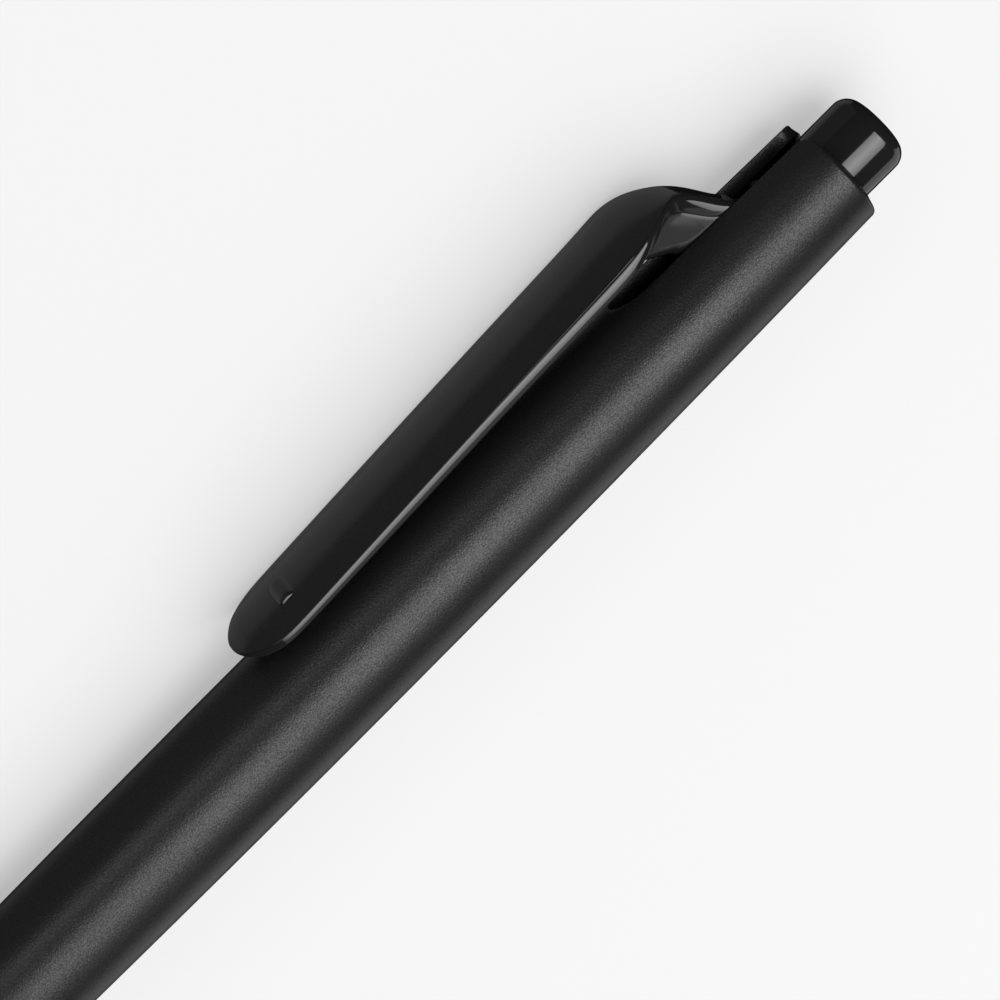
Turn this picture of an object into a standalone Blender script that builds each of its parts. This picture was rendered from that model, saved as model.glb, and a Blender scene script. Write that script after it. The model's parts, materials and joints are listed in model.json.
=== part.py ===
"""Retractable ballpoint pen, built as the separate pieces it is assembled from.

Every piece is drawn on the pen's own axes, in millimetres: x runs along the pen, 0 at the rear rim
of the barrel and negative towards the writing point; y points out at the clip. An empty carries
all of them. Last of all it is rolled and moved so that the pen lies on the floor as a real one
does, on its belly and the lower edge of its clip, with the origin under the middle of its box.

The pen is drawn ready to write: refill out, button in.
"""
import math

import bmesh
import bpy
from mathutils import Matrix, Vector

MM = 0.001
STEPS = 48                    # facets round every turned piece

# Barrel. Its belly is a shallow arc, widest at BELLY_X.
BELLY_X, BELLY_R = -60.2, 5.5
REAR_ARC, FRONT_ARC = 1.74e-4, 2.4e-4
RIM_X, RIM_CORNER = 0.0, 0.4
RIM_DOME = 0.3                # the rim's inner edge stands this far behind its outer corner
LIP_R, LIP_X = 3.58, -0.4
BORE_R = 3.85
BORE_STEP_X = -25.7           # the sleeve's front end stands against this step
STEP_R = 3.45
FRONT_BORE_R = 4.15
JOINT_X = -108.0              # where the nose cone meets the barrel
SOCKET_X = -97.5              # rear end of the socket for the nose cone's spigot

# Slot for the clip's neck, open at the rear rim.
SLOT_HALF = 1.55
SLOT_ROUND_X, SLOT_END_X = -17.2, -20.3
SLOT_FLARE = 1.3

# Nose cone
NOSE_X, NOSE_R = -134.2, 1.75
SPIGOT_R, SPIGOT_X = 4.0, -98.0
SPIGOT_BORE_R = 3.2
CHAMBER_X, CHAMBER_R = -112.0, 2.45
SEAT_X = -127.0
MOUTH_R = 1.25

# Button and its travel
BUTTON_R, BUTTON_X = 3.48, 5.0
BUTTON_FILLET = 1.45
FLANGE_R, FLANGE_REAR_X, FLANGE_X = 3.75, -5.0, -5.6
BUTTON_BORE_R, BUTTON_BORE_X = 2.35, 0.05
BUTTON_CORE_R, BUTTON_CORE_X = 1.8, 3.8

# Click mechanism: fixed ribs in the sleeve, keys on the plunger, ribs on the rotor
SLEEVE_REAR_X, SLEEVE_X = -7.1, -25.5
SLEEVE_R, SLEEVE_BORE_R = 3.8, 3.15
RIB_X0, RIB_X1, RIB_R = -13.0, -19.7, 2.7
RIB_WIDTH, RIB_AT = 24.0, 45.0           # degrees
WINDOW_X0, WINDOW_X1, WINDOW_HALF = -7.9, -13.6, 1.6
PLUNGER_R, PLUNGER_STEM_R = 2.6, 2.3
PLUNGER_BORE_R, PLUNGER_BORE_X = 1.5, -13.9
KEY_X0, KEY_X1, KEY_R, KEY_WIDTH = -14.0, -18.4, 3.05, 14.0
TEETH, TOOTH = 8, 0.5
CROWN_X = -19.25                         # the plunger's tooth tips
CROWN_GAP = 0.06
ROTOR_PIN_R, ROTOR_PIN_X = 1.35, -14.5
ROTOR_CORE_X, ROTOR_X = -25.3, -32.0
ROTOR_NOSE_R = 2.3
ROTOR_RIB_X0, ROTOR_RIB_X1 = -20.4, -23.4
ROTOR_RIB_AT = RIB_AT + 14.0             # just caught on the fixed ribs

# Refill
TUBE_X0, TUBE_X1, TUBE_R, TUBE_BORE_R = -30.0, -120.0, 1.5, 0.8
EAR_X0, EAR_X1, EAR_R = -109.0, -110.5, 2.3
INK_X0, INK_X1 = -52.0, -117.4
FOLLOWER_X0 = -49.0
HOLDER_X0, HOLDER_X1, HOLDER_R = -117.5, -131.0, 1.15
POINT_X0, POINT_X1 = -127.6, -136.75
BALL_R = 0.35
BALL_X = -136.65
CLEAR = 0.03                             # between pieces that touch in the real pen

# Return spring
SPRING_WIRE, SPRING_R, SPRING_TURNS = 0.4, 2.0, 10

# Clip: a blade that leans away from the barrel towards the rear, on a narrow neck
CLIP_HALF = 4.9
CLIP_NOSE_X = -59.5
SHOULDER_X, RIDGE_X = -14.5, -10.3
CLIP_EDGE_R, CLIP_EDGE_X, CLIP_LEAN = 9.17, -25.0, 0.052
CLIP_BEND_X, CLIP_DROP = -16.4, 0.023    # behind this the blade curves down to its neck
CLIP_CROWN = 0.5
CLIP_THIN, CLIP_THICK = 0.75, 1.15
NECK_HALF = 1.45
NECK_FRONT_X, FOOT_FRONT_X = -14.0, -13.3
FOOT_R = 3.3
CLIP_PIVOT = (-10.5, 4.4)                # x and y of the line the neck bends about
PAD_X, PAD_R = -53.5, 1.3                # the pad under the blade that grips cloth
PAD_GAP = 0.35

PLASTIC = ((0.013, 0.013, 0.014), 0.5, 0.0)
GLOSS = ((0.008, 0.008, 0.009), 0.2, 0.0)
BLACK = ((0.011, 0.011, 0.012), 0.4, 0.0)
WHITE = ((0.75, 0.75, 0.73), 0.4, 0.0)
CLEAR_PLASTIC = ((0.8, 0.82, 0.82), 0.3, 0.0)
INK = ((0.005, 0.01, 0.06), 0.3, 0.0)
GREASE = ((0.75, 0.68, 0.45), 0.4, 0.0)
SILVER = ((0.72, 0.68, 0.6), 0.25, 1.0)
STEEL = ((0.6, 0.6, 0.62), 0.3, 1.0)


def clear_scene():
    for thing in list(bpy.data.objects):
        bpy.data.objects.remove(thing, do_unlink=True)


def material(name, finish):
    colour, roughness, metallic = finish
    made = bpy.data.materials.new(name)
    made.use_nodes = True
    shader = made.node_tree.nodes["Principled BSDF"]
    shader.inputs["Base Color"].default_value = (*colour, 1.0)
    shader.inputs["Roughness"].default_value = roughness
    shader.inputs["Metallic"].default_value = metallic
    made.diffuse_color = (*colour, 1.0)
    return made


def finish_mesh(bm, name):
    bmesh.ops.remove_doubles(bm, verts=bm.verts, dist=1e-7)
    bmesh.ops.recalc_face_normals(bm, faces=bm.faces)
    mesh = bpy.data.meshes.new(name)
    bm.to_mesh(mesh)
    bm.free()
    return mesh


def add_object(name, data, parent, finish=None):
    thing = bpy.data.objects.new(name, data)
    bpy.context.scene.collection.objects.link(thing)
    thing.parent = parent
    if finish:
        data.materials.append(material(name, finish))
    return thing


def arc(x, r, radius, start, end, count):
    """Points on an arc about (x, r); 0 degrees points to the rear and 90 away from the axis."""
    turns = [math.radians(start + (end - start) * i / count) for i in range(count + 1)]
    return [(x + radius * math.cos(t), r + radius * math.sin(t)) for t in turns]


def turned_mesh(name, profile, closed=True):
    """Turn a profile of (x, r) points about the pen's axis. An open one gets a flat end disc."""
    bm = bmesh.new()
    verts = [bm.verts.new(Vector((x, r, 0.0)) * MM) for x, r in profile]
    edges = [bm.edges.new(pair) for pair in zip(verts, verts[1:])]
    if closed:
        edges.append(bm.edges.new((verts[-1], verts[0])))
    bmesh.ops.spin(bm, geom=verts + edges, cent=(0, 0, 0), axis=(1, 0, 0),
                   angle=2 * math.pi, steps=STEPS, use_merge=True)
    if not closed:
        bmesh.ops.holes_fill(bm, edges=bm.edges, sides=0)
    return finish_mesh(bm, name)


def turned(name, profile, parent, finish, closed=True):
    thing = add_object(name, turned_mesh(name, profile, closed), parent, finish)
    for face in thing.data.polygons:
        face.use_smooth = abs(face.normal.x) < 0.9
    return thing


def crown(mesh, x, r_in, r_out, height):
    """Raise the ring at x between two radii into a crown of teeth, slanted one way."""
    for vert in mesh.vertices:
        radius = math.hypot(vert.co.y, vert.co.z) / MM
        if abs(vert.co.x / MM - x) < 0.001 and r_in - 0.01 < radius < r_out + 0.01:
            turn = math.atan2(vert.co.z, vert.co.y) / (2 * math.pi) * TEETH
            vert.co.x += (1.0 - round(turn * 6) % 6 / 5.0) * height * MM


def add_sector(bm, x0, x1, r0, r1, centre, width, count=4):
    """A curved block: part of a ring between two radii, centred on an angle in degrees."""
    rings = []
    for i in range(count + 1):
        turn = math.radians(centre + width * (i / count - 0.5))
        corners = ((x0, r0), (x0, r1), (x1, r1), (x1, r0))
        rings.append([bm.verts.new(Vector((x, r * math.cos(turn), r * math.sin(turn))) * MM)
                      for x, r in corners])
    for low, high in zip(rings, rings[1:]):
        for i in range(4):
            bm.faces.new((low[i], low[(i + 1) % 4], high[(i + 1) % 4], high[i]))
    bm.faces.new(rings[0])
    bm.faces.new(rings[-1])


def sectors(name, parent, x0, x1, r0, r1, first, width):
    """Four curved blocks at right angles to each other, as a Boolean tool."""
    bm = bmesh.new()
    for quarter in range(4):
        add_sector(bm, x0, x1, r0, r1, first + 90.0 * quarter, width)
    return tool(name, finish_mesh(bm, name), parent)


def prism(name, outline, low, high, upright, parent):
    """A closed outline drawn on x and one cross axis, extruded along the other.

    upright=True draws on (x, z) and extrudes along y; otherwise on (x, y), extruded along z.
    """
    bm = bmesh.new()
    spots = [(x, low, c) if upright else (x, c, low) for x, c in outline]
    base = bm.faces.new([bm.verts.new(Vector(spot) * MM) for spot in spots])
    grown = bmesh.ops.extrude_face_region(bm, geom=[base])
    way = Vector((0, high - low, 0) if upright else (0, 0, high - low)) * MM
    moved = [g for g in grown["geom"] if isinstance(g, bmesh.types.BMVert)]
    bmesh.ops.translate(bm, vec=way, verts=moved)
    return tool(name, finish_mesh(bm, name), parent)


def tool(name, mesh, parent):
    thing = add_object(name, mesh, parent)
    thing.hide_render = True
    thing.display_type = "WIRE"
    return thing


def combine(thing, other, operation):
    step = thing.modifiers.new(other.name, "BOOLEAN")
    step.object = other
    step.operation = operation
    step.solver = "EXACT"


def barrel_radius(x):
    away = x - BELLY_X
    return BELLY_R - (REAR_ARC if away > 0 else FRONT_ARC) * away * away


def make_barrel(parent):
    rear_x = RIM_X - RIM_CORNER
    count = 24
    stations = [JOINT_X + (rear_x - JOINT_X) * i / count for i in range(count + 1)]
    profile = [(x, barrel_radius(x)) for x in stations]
    profile += arc(rear_x, barrel_radius(rear_x) - RIM_CORNER, RIM_CORNER, 75, 5, 4)
    profile += [(RIM_X + RIM_DOME, LIP_R + 0.15), (RIM_X + RIM_DOME - 0.1, LIP_R)]
    profile += [(LIP_X, LIP_R), (LIP_X, BORE_R), (BORE_STEP_X, BORE_R), (BORE_STEP_X, STEP_R)]
    profile += [(BORE_STEP_X - 1.5, STEP_R), (BORE_STEP_X - 3.0, BORE_R)]
    profile += [(SOCKET_X, FRONT_BORE_R), (JOINT_X, FRONT_BORE_R)]
    barrel = turned("barrel", profile, parent, PLASTIC)

    half = []
    for i in range(7):
        turn = math.radians(15.0 * i)
        x = SLOT_ROUND_X + (SLOT_END_X - SLOT_ROUND_X) * math.cos(turn)
        half.append((x, SLOT_HALF * math.sin(turn)))
    flare = arc(RIM_X - SLOT_FLARE, SLOT_HALF + SLOT_FLARE, SLOT_FLARE, -90, 0, 5)
    half += flare + [(RIM_X + 1.0, SLOT_HALF + SLOT_FLARE)]
    outline = half + [(x, -z) for x, z in reversed(half[1:])]
    combine(barrel, prism("barrel_slot", outline, 1.0, 7.0, True, parent), "DIFFERENCE")


def nose_radius(x):
    """A curve that leaves the barrel without a corner and narrows to the mouth."""
    length = JOINT_X - NOSE_X
    end_r = barrel_radius(JOINT_X)
    end_slope = 2 * FRONT_ARC * (BELLY_X - JOINT_X)
    bend = (end_r - NOSE_R - end_slope * length) / length ** 2
    away = x - NOSE_X
    return NOSE_R + (end_slope + 2 * bend * length) * away - bend * away * away


def make_nose_cone(parent):
    count = 14
    face_x = JOINT_X - CLEAR
    stations = [NOSE_X + 0.3 + (face_x - NOSE_X - 0.3) * i / count for i in range(count + 1)]
    profile = [(NOSE_X, MOUTH_R + 0.15)]
    profile += arc(NOSE_X + 0.3, nose_radius(NOSE_X + 0.3) - 0.3, 0.3, 180, 100, 4)
    profile += [(x, nose_radius(x)) for x in stations]
    profile += [(face_x, SPIGOT_R), (SPIGOT_X - 0.3, SPIGOT_R), (SPIGOT_X, SPIGOT_R - 0.3)]
    profile += [(SPIGOT_X, SPIGOT_BORE_R), (CHAMBER_X + 2.0, SPIGOT_BORE_R)]
    profile += [(CHAMBER_X, CHAMBER_R), (SEAT_X, CHAMBER_R), (SEAT_X, MOUTH_R)]
    profile += [(NOSE_X + 0.15, MOUTH_R)]
    turned("nose_cone", profile, parent, PLASTIC)


def make_sleeve(parent):
    profile = [(SLEEVE_REAR_X, SLEEVE_R), (SLEEVE_X, SLEEVE_R)]
    profile += [(SLEEVE_X, SLEEVE_BORE_R), (SLEEVE_REAR_X, SLEEVE_BORE_R)]
    sleeve = turned("cam_sleeve", profile, parent, BLACK)
    ribs = sectors("sleeve_ribs", parent, RIB_X1, RIB_X0, RIB_R, SLEEVE_BORE_R + 0.3,
                   RIB_AT, RIB_WIDTH)
    combine(sleeve, ribs, "UNION")
    corners = [(WINDOW_X1, -WINDOW_HALF), (WINDOW_X0, -WINDOW_HALF)]
    corners += [(x, -z) for x, z in reversed(corners)]
    combine(sleeve, prism("sleeve_window", corners, 2.0, 5.0, True, parent), "DIFFERENCE")


def make_button(parent):
    profile = [(BUTTON_X, BUTTON_R - BUTTON_FILLET)]
    profile += arc(BUTTON_X - BUTTON_FILLET, BUTTON_R - BUTTON_FILLET, BUTTON_FILLET, 10, 90, 6)
    profile += [(FLANGE_REAR_X, BUTTON_R), (FLANGE_REAR_X, FLANGE_R), (FLANGE_X, FLANGE_R)]
    profile += [(FLANGE_X, BUTTON_BORE_R), (BUTTON_BORE_X, BUTTON_BORE_R)]
    profile += [(BUTTON_BORE_X, BUTTON_CORE_R), (BUTTON_CORE_X, BUTTON_CORE_R)]
    turned("button", profile, parent, GLOSS, closed=False)


def make_plunger(parent):
    crown_base = CROWN_X + TOOTH
    profile = [(0.0, PLUNGER_STEM_R), (FLANGE_X - 0.1, PLUNGER_STEM_R)]
    profile += [(FLANGE_X - 0.1, PLUNGER_R), (crown_base, PLUNGER_R), (crown_base, PLUNGER_BORE_R)]
    profile += [(PLUNGER_BORE_X, PLUNGER_BORE_R)]
    plunger = turned("plunger", profile, parent, BLACK, closed=False)
    crown(plunger.data, crown_base, PLUNGER_BORE_R, PLUNGER_R, -TOOTH)
    keys = sectors("plunger_keys", parent, KEY_X1, KEY_X0, PLUNGER_R - 0.3, KEY_R, 0.0, KEY_WIDTH)
    combine(plunger, keys, "UNION")


def make_rotor(parent):
    crown_base = CROWN_X - CROWN_GAP - TOOTH
    socket_x = TUBE_X0 + CLEAR
    profile = [(ROTOR_PIN_X, ROTOR_PIN_R), (crown_base, ROTOR_PIN_R), (crown_base, PLUNGER_BORE_R)]
    profile += [(crown_base, PLUNGER_R), (ROTOR_CORE_X, PLUNGER_R), (ROTOR_CORE_X, ROTOR_NOSE_R)]
    profile += [(ROTOR_X, ROTOR_NOSE_R), (ROTOR_X, TUBE_R + 0.05), (socket_x, TUBE_R + 0.05)]
    rotor = turned("rotor", profile, parent, WHITE, closed=False)
    crown(rotor.data, crown_base, PLUNGER_BORE_R, PLUNGER_R, TOOTH)
    ribs = sectors("rotor_ribs", parent, ROTOR_RIB_X1, ROTOR_RIB_X0, PLUNGER_R - 0.3, KEY_R,
                   ROTOR_RIB_AT, KEY_WIDTH)
    combine(rotor, ribs, "UNION")


def make_refill(parent):
    tube = turned("refill_tube", [(TUBE_X0, TUBE_BORE_R), (TUBE_X0, TUBE_R), (TUBE_X1, TUBE_R),
                                  (TUBE_X1, TUBE_BORE_R)], parent, CLEAR_PLASTIC)
    bm = bmesh.new()
    for side in (0.0, 180.0):
        add_sector(bm, EAR_X1, EAR_X0, TUBE_R - 0.3, EAR_R, side, 50.0)
    combine(tube, tool("refill_ears", finish_mesh(bm, "refill_ears"), parent), "UNION")

    fill_r = TUBE_BORE_R - CLEAR
    turned("ink_column", [(INK_X0, fill_r), (INK_X1, fill_r)], parent, INK, closed=False)
    turned("grease_follower", [(FOLLOWER_X0, fill_r), (INK_X0 + CLEAR, fill_r)], parent, GREASE,
           closed=False)

    channel_r, socket_r = 0.4, 0.95
    step_x = TUBE_X1 - CLEAR
    holder = [(HOLDER_X0, fill_r), (step_x, fill_r), (step_x, TUBE_R - 0.05)]
    holder += [(step_x - 1.2, TUBE_R - 0.05), (step_x - 1.8, HOLDER_R), (HOLDER_X1, HOLDER_R)]
    holder += [(HOLDER_X1, socket_r), (POINT_X0 + CLEAR, socket_r)]
    holder += [(POINT_X0 + CLEAR, channel_r), (HOLDER_X0, channel_r)]
    turned("tip_holder", holder, parent, WHITE)

    shank_x = HOLDER_X1 - CLEAR
    point = [(POINT_X0, socket_r - CLEAR), (shank_x, socket_r - CLEAR), (shank_x, HOLDER_R)]
    point += [(shank_x - 2.2, HOLDER_R), (POINT_X1, BALL_R + 0.1), (POINT_X1, BALL_R + 0.03)]
    point += [(BALL_X + BALL_R + 0.03, BALL_R + 0.03), (BALL_X + BALL_R + 0.3, 0.2)]
    point += [(POINT_X0, 0.2)]
    turned("writing_point", point, parent, SILVER)

    bm = bmesh.new()
    bmesh.ops.create_uvsphere(bm, u_segments=16, v_segments=10, radius=BALL_R * MM)
    ball = add_object("ball", finish_mesh(bm, "ball"), parent, STEEL)
    ball.location.x = BALL_X * MM


def make_spring(parent):
    """The wire closes up at both ends, where its pitch is at its least."""
    front_x = SEAT_X + SPRING_WIRE / 2 + CLEAR
    rear_x = EAR_X1 - SPRING_WIRE / 2 - CLEAR
    count = SPRING_TURNS * 14
    curve = bpy.data.curves.new("return_spring", "CURVE")
    curve.dimensions = "3D"
    spline = curve.splines.new("POLY")
    spline.points.add(count)
    for i, point in enumerate(spline.points):
        part = i / count
        along = part - 0.73 * math.sin(2 * math.pi * part) / (2 * math.pi)
        turn = 2 * math.pi * SPRING_TURNS * part
        spot = (front_x + (rear_x - front_x) * along,
                SPRING_R * math.cos(turn), SPRING_R * math.sin(turn))
        point.co = (*(Vector(spot) * MM), 1.0)
    curve.bevel_depth = SPRING_WIRE / 2 * MM
    curve.bevel_resolution = 1
    curve.use_fill_caps = True
    add_object("return_spring", curve, parent, STEEL)


def clip_edge_radius(x):
    """How far from the pen's axis the blade's outer side edges run."""
    bend_x = CLIP_BEND_X
    radius = CLIP_EDGE_R + CLIP_LEAN * (min(x, bend_x) - CLIP_EDGE_X)
    return radius - CLIP_DROP * max(x - bend_x, 0.0) ** 2


def clip_half_width(x):
    round_x = CLIP_NOSE_X + CLIP_HALF
    if x < round_x:
        return math.sqrt(CLIP_HALF ** 2 - (x - round_x) ** 2)
    if x > SHOULDER_X:
        part = (x - SHOULDER_X) / (RIDGE_X - SHOULDER_X)
        return NECK_HALF + (CLIP_HALF - NECK_HALF) * (1 - part)
    return CLIP_HALF


def blade_mesh():
    """Rings of points across the blade: a crowned top and a flat underside."""
    round_x = CLIP_NOSE_X + CLIP_HALF
    stations = [round_x - CLIP_HALF * math.sin(math.radians(t)) for t in (82, 74, 64, 52, 38, 20)]
    stations += [round_x, -40.0, -28.0, CLIP_BEND_X, -15.4, SHOULDER_X, -13.4, -12.3, -11.3]
    stations += [RIDGE_X]
    across = (-1.0, -0.85, -0.6, -0.3, 0.3, 0.6, 0.85, 1.0)
    bm = bmesh.new()
    rings = []
    for x in stations:
        half, edge = clip_half_width(x), clip_edge_radius(x)
        thick = min(CLIP_THIN + (x - CLIP_NOSE_X) * 0.012, CLIP_THICK)
        ring = [(x, edge + CLIP_CROWN * (1 - (half * u / CLIP_HALF) ** 2), half * u) for u in across]
        ring += [(x, edge - thick, half * u) for u in reversed(across)]
        rings.append([bm.verts.new(Vector(spot) * MM) for spot in ring])
    for low, high in zip(rings, rings[1:]):
        for i, vert in enumerate(low):
            after = (i + 1) % len(low)
            bm.faces.new((vert, low[after], high[after], high[i]))
    bm.faces.new(rings[0])
    bm.faces.new(rings[-1])
    return finish_mesh(bm, "clip")


def make_clip(parent):
    clip = add_object("clip", blade_mesh(), parent, GLOSS)
    neck = [(NECK_FRONT_X, 8.9), (NECK_FRONT_X, 4.5), (FOOT_FRONT_X, 4.2), (FOOT_FRONT_X, FOOT_R)]
    neck += [(-8.2, FOOT_R), (-8.2, 4.2), (-6.5, 4.2)]
    neck += [(-6.5, 4.45), (-7.3, 4.6), (-7.8, 5.0), (-8.4, 6.0), (-8.9, 7.0), (-9.4, 7.9)]
    neck += [(RIDGE_X, 9.0), (RIDGE_X - 0.6, 9.1)]
    pad_y = barrel_radius(PAD_X) + PAD_GAP + PAD_R
    pad = arc(PAD_X, pad_y, PAD_R, 180, 360, 8)
    tools = [prism("clip_neck", neck, -NECK_HALF, NECK_HALF, False, parent),
             prism("clip_pad", pad, -1.8, 1.8, False, parent)]
    pivot = Vector((*CLIP_PIVOT, 0.0)) * MM
    clip.data.transform(Matrix.Translation(-pivot))
    clip.location = pivot
    for piece in tools:
        piece.data.transform(Matrix.Translation(-pivot))
        piece.parent = clip
        combine(clip, piece, "UNION")
    return clip


def world_points(thing):
    graph = bpy.context.evaluated_depsgraph_get()
    shown = thing.evaluated_get(graph)
    mesh = shown.to_mesh()
    points = [shown.matrix_world @ vert.co for vert in mesh.vertices]
    shown.to_mesh_clear()
    return points


def lay_on_floor(pen, clip):
    """Roll the pen until its clip's lower edge is level with its belly, then put it in place."""
    bpy.context.view_layer.update()
    belly = BELLY_R * MM
    rolls = []
    for point in world_points(clip):
        reach = math.hypot(point.y, point.z)
        if reach > belly:
            rolls.append(math.atan2(point.z, point.y) + math.asin(belly / reach))
    pen.rotation_euler.x = -min(roll for roll in rolls if roll > 0)
    bpy.context.view_layer.update()
    points = [spot for thing in bpy.data.objects if thing.type != "EMPTY" and not thing.hide_render
              for spot in world_points(thing)]
    low = Vector(min(p[i] for p in points) for i in range(3))
    high = Vector(max(p[i] for p in points) for i in range(3))
    middle = (low + high) / 2
    pen.location = (-middle.x, -middle.y, -low.z)
    bpy.context.view_layer.update()


def main():
    clear_scene()
    pen = bpy.data.objects.new("pen_axis", None)
    pen.empty_display_size = 0.01
    bpy.context.scene.collection.objects.link(pen)
    make_barrel(pen)
    make_nose_cone(pen)
    make_sleeve(pen)
    make_button(pen)
    make_plunger(pen)
    make_rotor(pen)
    make_refill(pen)
    make_spring(pen)
    clip = make_clip(pen)
    lay_on_floor(pen, clip)


main()
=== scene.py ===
"""Looks for a retractable ballpoint pen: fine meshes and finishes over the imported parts.

Every new piece is drawn on the pen's own axes, in millimetres, and put in place at the end: x runs
along the pen, 0 at the rear rim of the barrel and negative towards the point; y points out at the
clip. Those axes are read from the frame's joints.
"""

import json
import math

import bmesh
import bpy
from bpy.props import FloatProperty, FloatVectorProperty, IntProperty, PointerProperty
from mathutils import Matrix, Vector


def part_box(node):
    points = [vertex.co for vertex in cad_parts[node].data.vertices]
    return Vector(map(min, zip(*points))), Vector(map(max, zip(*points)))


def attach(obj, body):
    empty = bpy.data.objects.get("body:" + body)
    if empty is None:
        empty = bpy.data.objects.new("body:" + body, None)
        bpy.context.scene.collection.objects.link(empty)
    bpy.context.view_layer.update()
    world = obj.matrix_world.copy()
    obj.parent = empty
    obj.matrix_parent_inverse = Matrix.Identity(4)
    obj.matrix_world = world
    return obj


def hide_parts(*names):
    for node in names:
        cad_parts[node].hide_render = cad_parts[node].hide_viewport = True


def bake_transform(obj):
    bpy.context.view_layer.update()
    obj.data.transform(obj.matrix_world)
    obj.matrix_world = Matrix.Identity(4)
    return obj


bl_info = {
    "name": "Retractable ballpoint pen",
    "version": (1, 0, 0),
    "blender": (4, 5, 0),
    "location": "View3D > Sidebar > Pen",
    "description": "Builds the finished pieces of a click pen over its packed frame",
    "category": "Add Mesh",
}

MM = 0.001
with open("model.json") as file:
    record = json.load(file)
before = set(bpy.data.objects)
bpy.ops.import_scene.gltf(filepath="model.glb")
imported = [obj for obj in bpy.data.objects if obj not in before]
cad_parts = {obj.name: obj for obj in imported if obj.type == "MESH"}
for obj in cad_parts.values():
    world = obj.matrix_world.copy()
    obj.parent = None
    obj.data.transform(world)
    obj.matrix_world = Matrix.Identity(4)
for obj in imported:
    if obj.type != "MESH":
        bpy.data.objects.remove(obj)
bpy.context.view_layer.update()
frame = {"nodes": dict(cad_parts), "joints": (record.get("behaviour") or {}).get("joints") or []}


# ---------------------------------------------------------------- the pen's own axes

RIM_DOME = 0.3             # mm, how far the rim's inner edge stands behind its outer corner


def find_pen_axes():
    """A matrix from the pen's axes, in mm, to the frame. The rotor turns on the pen's axis, and the
    clip bends about a line across it."""
    joints = {joint["name"]: joint for joint in frame["joints"]}
    along = Vector(joints["rotor_index"]["axis"]).normalized()
    across = -Vector(joints["clip_flex"]["axis"]).normalized()
    outward = across.cross(along)
    turned = Matrix((along, outward, across)).transposed().to_4x4()
    centre = Vector(joints["rotor_index"]["pos_m"])
    centre.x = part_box("barrel")[1].x - RIM_DOME * MM
    return Matrix.Translation(centre) @ turned @ Matrix.Scale(MM, 4)


PEN = find_pen_axes()


def span(node):
    """A CAD node's lowest and highest corners on the pen's axes, in mm."""
    back = PEN.inverted()
    spots = [back @ vert.co for vert in frame["nodes"][node].data.vertices]
    return (Vector(min(s[i] for s in spots) for i in range(3)),
            Vector(max(s[i] for s in spots) for i in range(3)))


# ---------------------------------------------------------------- sizes, in mm on the pen's axes

BELLY_X = -60.2            # where the barrel is widest
REAR_ARC, FRONT_ARC = 1.74e-4, 2.4e-4
BELLY_R = span("barrel")[1].z - 0.012     # finer facets reach a little further out
JOINT_X = span("barrel")[0].x
SOCKET_DEPTH = 10.5
RIM_CORNER = 0.4
BORE_R, LIP_R, LIP_X = 3.85, 3.58, -0.4
BORE_STEP_X, STEP_R = -25.7, 3.45
FRONT_BORE_R = 4.15
SLOT_HALF, SLOT_ROUND_X, SLOT_END_X, SLOT_FLARE = 1.49, -17.2, -20.3, 1.3

NOSE_X, SPIGOT_X = span("nose_cone")[0].x, span("nose_cone")[1].x
NOSE_R, SPIGOT_R, SPIGOT_BORE_R = 1.75, 4.0, 3.2
CHAMBER_X, CHAMBER_R, SEAT_X, MOUTH_R = -112.0, 2.45, -127.0, 1.25
THREAD_PITCH, THREAD_DEPTH, THREAD_TURNS = 1.0, 0.12, 5.0

BUTTON_X, BUTTON_FRONT_X = span("button")[1].x, span("button")[0].x
BUTTON_R, BUTTON_FILLET, FLANGE_R, FLANGE_LENGTH = 3.48, 1.45, 3.75, 0.6
BUTTON_BORE_R, BUTTON_CORE_R, BUTTON_CORE_X = 2.35, 1.8, 3.8

CLIP_NOSE_X = span("clip")[0].x
CLIP_HALF = span("clip")[1].z
CLIP_EDGE_R, CLIP_EDGE_X, CLIP_LEAN = 9.15, -25.0, 0.052
CLIP_CROWN, CLIP_THIN, CLIP_THICK, CLIP_THICKENS = 0.5, 0.75, 1.15, 0.012
SHOULDER_THICK, SHOULDER_THICKENS, SHOULDER_FROM_X = 1.5, 0.02, -28.0
CLIP_FILLET, FILLET_GROWS, FILLET_MORE, FILLET_FROM_X = 0.11, 0.02, 0.24, -32.0
BLUNT_END, BLUNT_SLOPE = 0.35, 0.55       # the round end thins down to a blunt edge
NECK_HALF = 1.4
PAD_X, PAD_R, PAD_GAP, PAD_HALF, PAD_ROUND = -53.5, 1.3, 0.35, 1.8, 0.3

TUBE_X0, TUBE_X1 = span("refill_tube")[1].x, span("refill_tube")[0].x
TUBE_R, TUBE_BORE_R = 1.5, 0.8
EAR_X0, EAR_X1, EAR_R, EAR_WIDTH = -109.0, -110.5, 2.3, 50.0
HOLDER_X0, HOLDER_X1 = span("tip_holder")[1].x, span("tip_holder")[0].x
POINT_X0, POINT_X1 = span("writing_point")[1].x, span("writing_point")[0].x
HOLDER_R, SOCKET_R, CHANNEL_R, INK_HOLE_R = 1.15, 0.95, 0.4, 0.2
FIT_GAP = 0.03             # between pieces that touch in the real pen
BALL_R = (span("ball")[1].x - span("ball")[0].x) / 2
BALL_X = span("ball")[0].x + BALL_R

SPRING_X0, SPRING_X1 = span("return_spring")[0].x, span("return_spring")[1].x
SPRING_R, SPRING_WIRE = 2.0, 0.4


# ---------------------------------------------------------------- settings a user would change

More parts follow.
